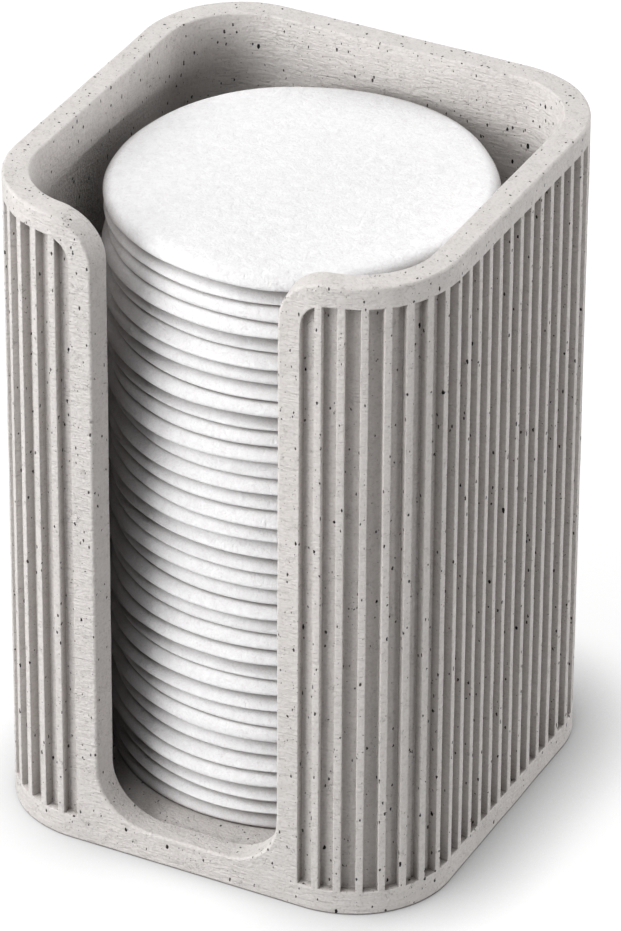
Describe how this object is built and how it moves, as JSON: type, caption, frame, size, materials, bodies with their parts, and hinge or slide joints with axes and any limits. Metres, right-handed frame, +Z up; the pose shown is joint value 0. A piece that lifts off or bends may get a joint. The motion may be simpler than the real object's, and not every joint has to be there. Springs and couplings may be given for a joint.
{
  "type": "cotton pad holder",
  "caption": "Square fluted stone cup, open at the top and down its front, holding a stack of round cotton pads that lift out one by one.",
  "frame": {"origin": "middle of the underside, on the surface that the holder stands on", "axes": "+Z up; the front with its slot faces -Y; +X to the right seen from the front"},
  "size_m": [0.07, 0.07, 0.105],
  "materials": {
    "speckled_stone": "matte cast stone, pale warm grey with fine dark specks and small pits",
    "cotton": "soft white pressed cotton"
  },
  "bodies": {
    "holder": {"holder": "speckled_stone"},
    "pad_stack": {"cotton_pad_01": "cotton", "cotton_pad_02": "cotton", "cotton_pad_03": "cotton", "cotton_pad_04": "cotton", "cotton_pad_05": "cotton", "cotton_pad_06": "cotton", "cotton_pad_07": "cotton", "cotton_pad_08": "cotton", "cotton_pad_09": "cotton", "cotton_pad_10": "cotton", "cotton_pad_11": "cotton", "cotton_pad_12": "cotton", "cotton_pad_13": "cotton", "cotton_pad_14": "cotton", "cotton_pad_15": "cotton", "cotton_pad_16": "cotton", "cotton_pad_17": "cotton", "cotton_pad_18": "cotton", "cotton_pad_19": "cotton", "cotton_pad_20": "cotton", "cotton_pad_21": "cotton", "cotton_pad_22": "cotton", "cotton_pad_23": "cotton", "cotton_pad_24": "cotton", "cotton_pad_25": "cotton", "cotton_pad_26": "cotton", "cotton_pad_27": "cotton", "cotton_pad_28": "cotton", "cotton_pad_29": "cotton", "cotton_pad_30": "cotton", "cotton_pad_31": "cotton", "cotton_pad_32": "cotton", "cotton_pad_33": "cotton"},
    "third_pad": {"cotton_pad_34": "cotton"},
    "second_pad": {"cotton_pad_35": "cotton"},
    "top_pad": {"cotton_pad_36": "cotton"}
  },
  "joints": [
    {"name": "pad_stack_lift", "type": "slide", "parent": "holder", "child": "pad_stack", "axis": [0, 0, 1], "range_m": [0, 0.105]},
    {"name": "third_pad_lift", "type": "slide", "parent": "pad_stack", "child": "third_pad", "axis": [0, 0, 1], "range_m": [0, 0.03]},
    {"name": "second_pad_lift", "type": "slide", "parent": "third_pad", "child": "second_pad", "axis": [0, 0, 1], "range_m": [0, 0.03]},
    {"name": "top_pad_lift", "type": "slide", "parent": "second_pad", "child": "top_pad", "axis": [0, 0, 1], "range_m": [0, 0.03]}
  ]
}
